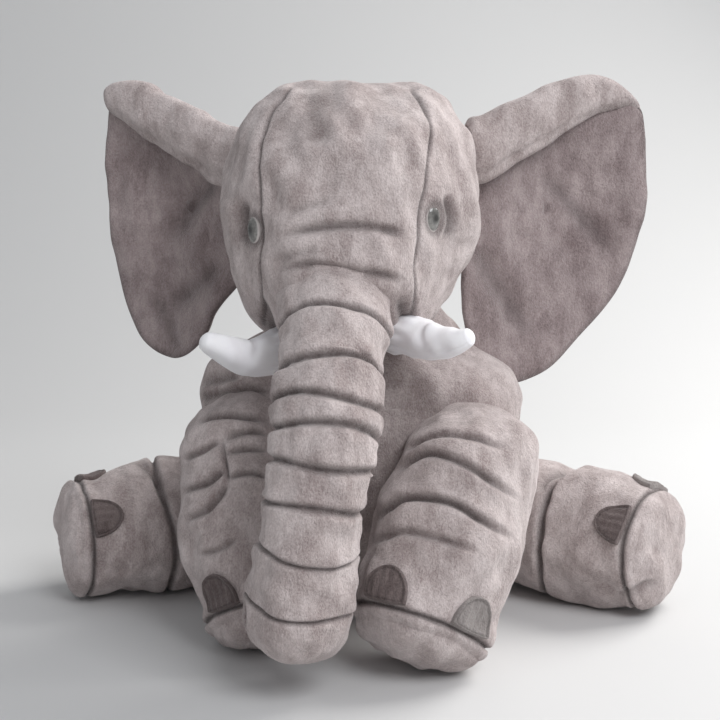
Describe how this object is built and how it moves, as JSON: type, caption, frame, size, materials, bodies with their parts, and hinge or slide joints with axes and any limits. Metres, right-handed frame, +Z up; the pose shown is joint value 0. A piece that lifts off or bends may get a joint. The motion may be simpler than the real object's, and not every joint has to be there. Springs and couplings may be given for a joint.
{
  "type": "stuffed elephant",
  "caption": "Sitting plush elephant with splayed hind legs, hanging trunk, large ears and short tusks; head, trunk, ears, legs and tail move.",
  "frame": {"origin": "on the floor under the middle of the elephant's box", "axes": "+Z up, the elephant faces -Y, +X towards the viewer's right when facing it"},
  "size_m": [0.582, 0.507, 0.464],
  "materials": {
    "body_plush": "short plush pile",
    "sole_plush": "short plush pile",
    "ear_plush": "short plush pile",
    "tusk_cloth": "smooth brushed cloth",
    "toenail_velour": "flat velour",
    "eye_plastic": "glossy",
    "washer_plastic": "moulded",
    "polyester_filling": "loose fibre"
  },
  "bodies": {
    "torso": {"torso_belly_panel": "body_plush", "torso_back_panel": "body_plush", "torso_stuffing": "polyester_filling"},
    "head": {"head_centre_panel": "body_plush", "head_left_panel": "body_plush", "head_right_panel": "body_plush", "head_stuffing": "polyester_filling", "eye_left": "eye_plastic", "eye_washer_left": "washer_plastic", "eye_right": "eye_plastic", "eye_washer_right": "washer_plastic", "tusk_left_cover": "tusk_cloth", "tusk_left_stuffing": "polyester_filling", "tusk_right_cover": "tusk_cloth", "tusk_right_stuffing": "polyester_filling"},
    "ear_left": {"ear_left_front_panel": "ear_plush", "ear_left_back_panel": "body_plush"},
    "ear_right": {"ear_right_front_panel": "ear_plush", "ear_right_back_panel": "body_plush"},
    "trunk_root": {"trunk_root_cover": "body_plush", "trunk_root_stuffing": "polyester_filling"},
    "trunk_middle": {"trunk_middle_cover": "body_plush", "trunk_middle_stuffing": "polyester_filling"},
    "trunk_tip": {"trunk_tip_cover": "body_plush", "trunk_tip_stuffing": "polyester_filling"},
    "foreleg_left": {"foreleg_left_cover": "body_plush", "foreleg_left_sole": "sole_plush", "foreleg_left_stuffing": "polyester_filling", "foreleg_left_toenails": "toenail_velour"},
    "foreleg_right": {"foreleg_right_cover": "body_plush", "foreleg_right_sole": "sole_plush", "foreleg_right_stuffing": "polyester_filling", "foreleg_right_toenails": "toenail_velour"},
    "hindleg_left": {"hindleg_left_cover": "body_plush", "hindleg_left_sole": "sole_plush", "hindleg_left_stuffing": "polyester_filling", "hindleg_left_toenails": "toenail_velour"},
    "hindleg_right": {"hindleg_right_cover": "body_plush", "hindleg_right_sole": "sole_plush", "hindleg_right_stuffing": "polyester_filling", "hindleg_right_toenails": "toenail_velour"},
    "tail": {"tail_cover": "body_plush", "tail_stuffing": "polyester_filling"}
  },
  "joints": [
    {"name": "neck_nod", "type": "hinge", "parent": "torso", "child": "head", "pos_m": [-0.00708, -0.0095, 0.262], "axis": [-1, 0, 0], "range_deg": [0, 20]},
    {"name": "ear_left_flap", "type": "hinge", "parent": "head", "child": "ear_left", "pos_m": [-0.09808, -0.0025, 0.362], "axis": [0, 0, 1], "range_deg": [-12, 22], "stiffness_Nm_per_rad": 0.12},
    {"name": "ear_right_flap", "type": "hinge", "parent": "head", "child": "ear_right", "pos_m": [0.08192, -0.0245, 0.36], "axis": [0, 0, -1], "range_deg": [-12, 22], "stiffness_Nm_per_rad": 0.12},
    {"name": "trunk_lift", "type": "hinge", "parent": "head", "child": "trunk_root", "pos_m": [-0.02108, -0.1335, 0.285], "axis": [-1, 0, 0], "range_deg": [0, 28]},
    {"name": "trunk_middle_curl", "type": "hinge", "parent": "trunk_root", "child": "trunk_middle", "pos_m": [-0.02908, -0.1955, 0.215], "axis": [-1, 0, 0], "range_deg": [0, 28]},
    {"name": "trunk_tip_curl", "type": "hinge", "parent": "trunk_middle", "child": "trunk_tip", "pos_m": [-0.03408, -0.2115, 0.145], "axis": [-1, 0, 0], "range_deg": [0, 28]},
    {"name": "foreleg_left_swing", "type": "hinge", "parent": "torso", "child": "foreleg_left", "pos_m": [-0.10308, -0.0585, 0.148], "axis": [-0.4983, 0.867, 0], "range_deg": [0, 24], "stiffness_Nm_per_rad": 2.5},
    {"name": "foreleg_right_swing", "type": "hinge", "parent": "torso", "child": "foreleg_right", "pos_m": [0.08392, -0.1075, 0.147], "axis": [-0.4983, -0.867, 0], "range_deg": [0, 24], "stiffness_Nm_per_rad": 2.5},
    {"name": "hindleg_left_splay", "type": "hinge", "parent": "torso", "child": "hindleg_left", "pos_m": [-0.09808, 0.1065, 0.062], "axis": [0, 0, -1], "range_deg": [-12, 12], "stiffness_Nm_per_rad": 1.5},
    {"name": "hindleg_right_splay", "type": "hinge", "parent": "torso", "child": "hindleg_right", "pos_m": [0.11192, 0.1065, 0.062], "axis": [0, 0, 1], "range_deg": [-12, 12], "stiffness_Nm_per_rad": 1.5},
    {"name": "tail_lift", "type": "hinge", "parent": "torso", "child": "tail", "pos_m": [0.00692, 0.2205, 0.172], "axis": [1, 0, 0], "range_deg": [0, 45]}
  ],
  "couplings": [
    {"joint": "trunk_middle_curl", "follows": "trunk_lift", "ratio": 1},
    {"joint": "trunk_tip_curl", "follows": "trunk_lift", "ratio": 1}
  ]
}
